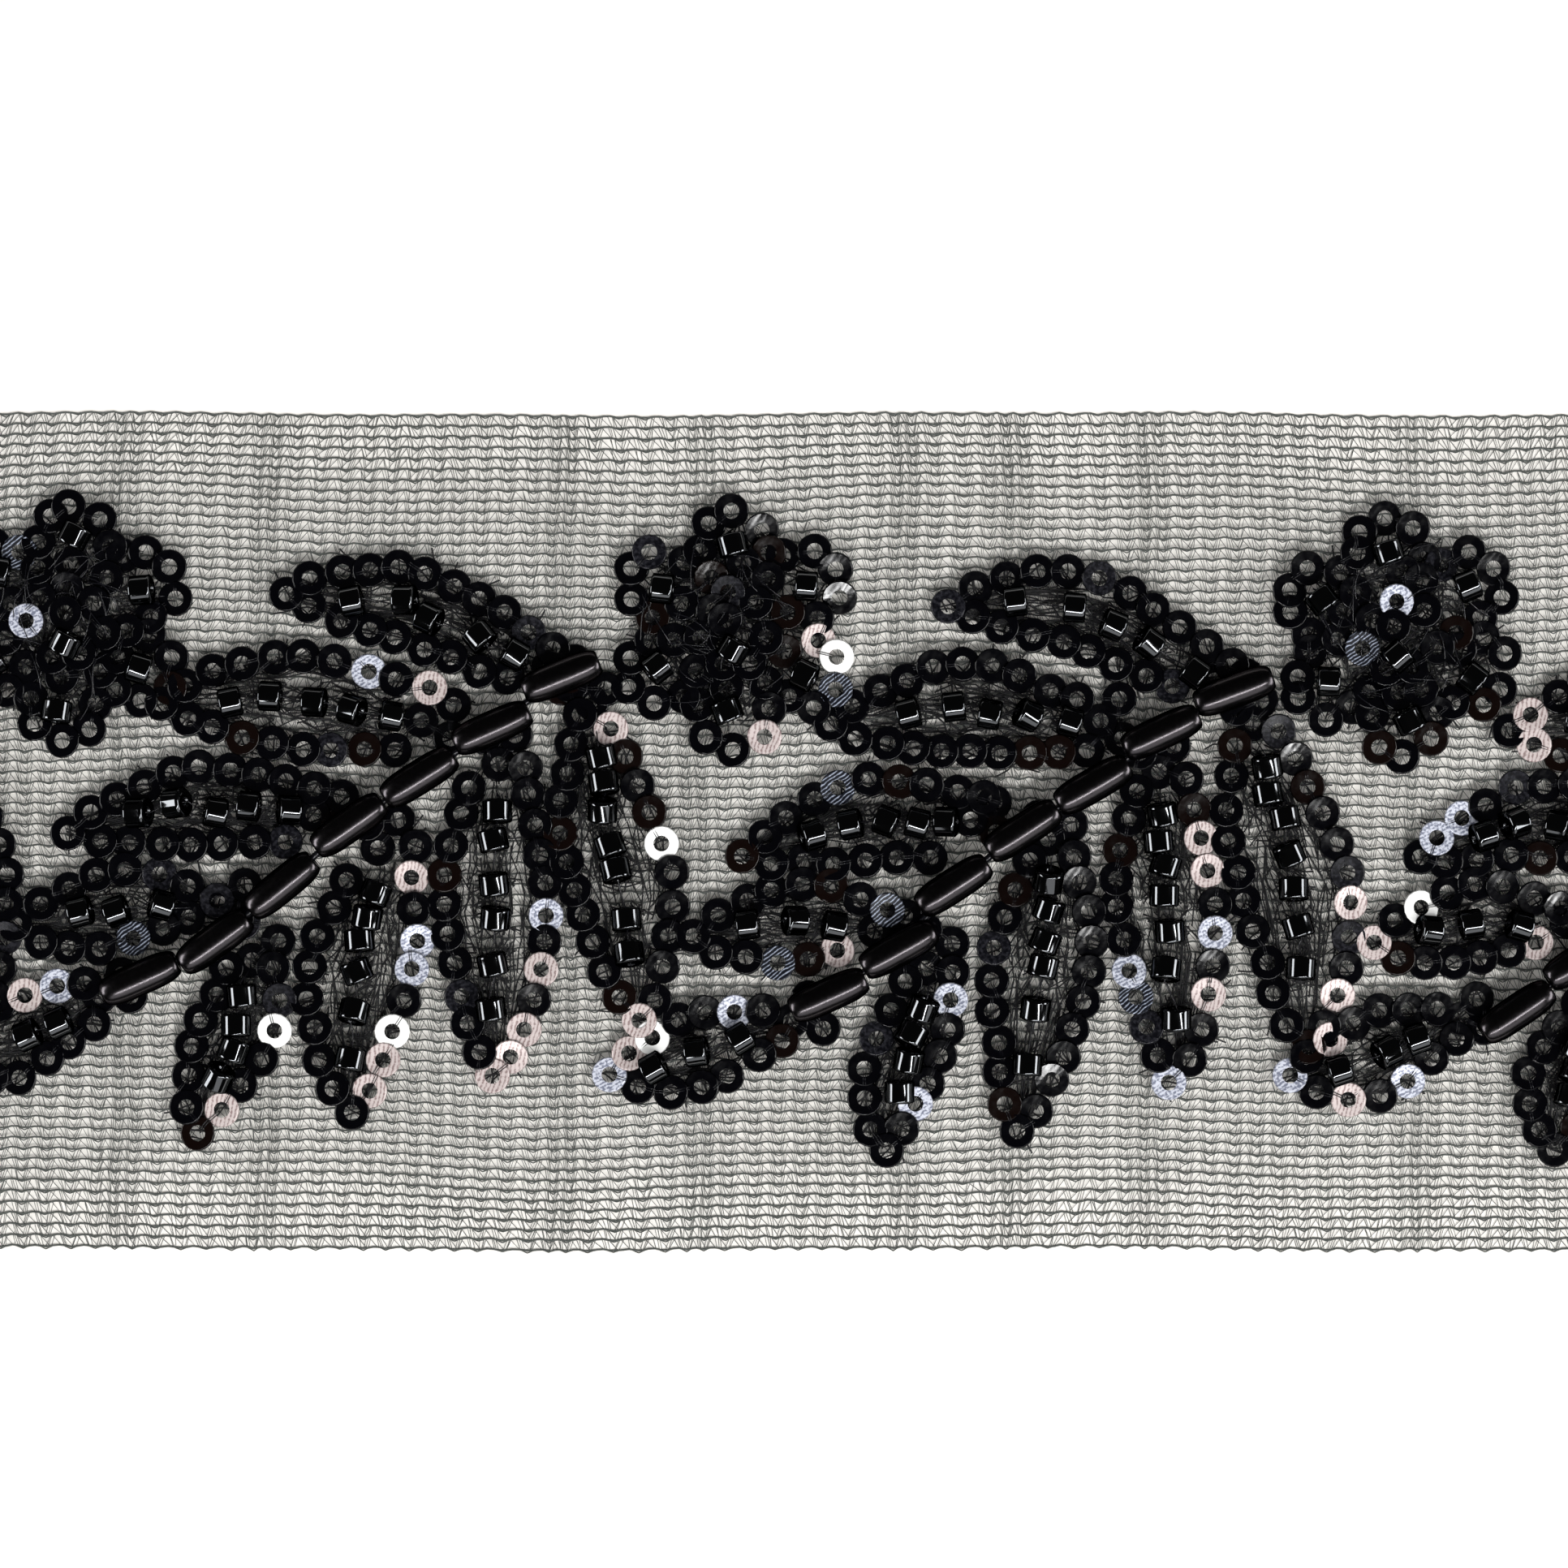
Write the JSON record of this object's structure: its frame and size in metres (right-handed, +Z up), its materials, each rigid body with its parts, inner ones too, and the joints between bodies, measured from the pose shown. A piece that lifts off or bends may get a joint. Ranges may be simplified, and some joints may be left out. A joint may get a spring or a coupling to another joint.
{
  "type": "sequin trim",
  "caption": "Length of black open net embroidered with a running vine of looped sequin leaves, sequin flowers and stems of oval beads.",
  "frame": {"origin": "middle of the underside", "axes": "+X along the trim, +Y across it towards the flowers, +Z up out of the worked face"},
  "size_m": [0.192, 0.0764, 0.0043],
  "materials": {
    "net": "black nylon warp-knit net, dull satin thread",
    "sequins": "thin glossy black film, some with fine embossed lines that catch the light",
    "beads": "glossy black"
  },
  "bodies": {
    "root": {"flower_1": "sequins", "flower_2": "sequins", "flower_3": "sequins", "lower_leaf_0_4": "sequins", "lower_leaf_1_1": "sequins", "lower_leaf_1_2": "sequins", "lower_leaf_1_3": "sequins", "lower_leaf_1_4": "sequins", "lower_leaf_2_1": "sequins", "lower_leaf_2_2": "sequins", "lower_leaf_2_3": "sequins", "lower_leaf_2_4": "sequins", "lower_leaf_3_1": "sequins", "lower_leaf_3_2": "sequins", "lower_leaf_3_3": "sequins", "net": "net", "stem_bead_1_1": "beads", "stem_bead_1_2": "beads", "stem_bead_1_3": "beads", "stem_bead_1_4": "beads", "stem_bead_1_5": "beads", "stem_bead_1_6": "beads", "stem_bead_1_7": "beads", "stem_bead_2_1": "beads", "stem_bead_2_2": "beads", "stem_bead_2_3": "beads", "stem_bead_2_4": "beads", "stem_bead_2_5": "beads", "stem_bead_2_6": "beads", "stem_bead_2_7": "beads", "stem_bead_3_1": "beads", "stem_bead_3_2": "beads", "stem_bead_3_3": "beads", "stem_bead_3_4": "beads", "stem_bead_3_5": "beads", "stem_bead_3_6": "beads", "stem_bead_3_7": "beads", "upper_leaf_1_1": "sequins", "upper_leaf_1_2": "sequins", "upper_leaf_1_3": "sequins", "upper_leaf_1_4": "sequins", "upper_leaf_1_5": "sequins", "upper_leaf_2_1": "sequins", "upper_leaf_2_2": "sequins", "upper_leaf_2_3": "sequins", "upper_leaf_2_4": "sequins", "upper_leaf_2_5": "sequins", "upper_leaf_3_1": "sequins", "upper_leaf_3_2": "sequins", "upper_leaf_3_3": "sequins", "upper_leaf_3_4": "sequins", "upper_leaf_3_5": "sequins"}
  },
  "joints": []
}
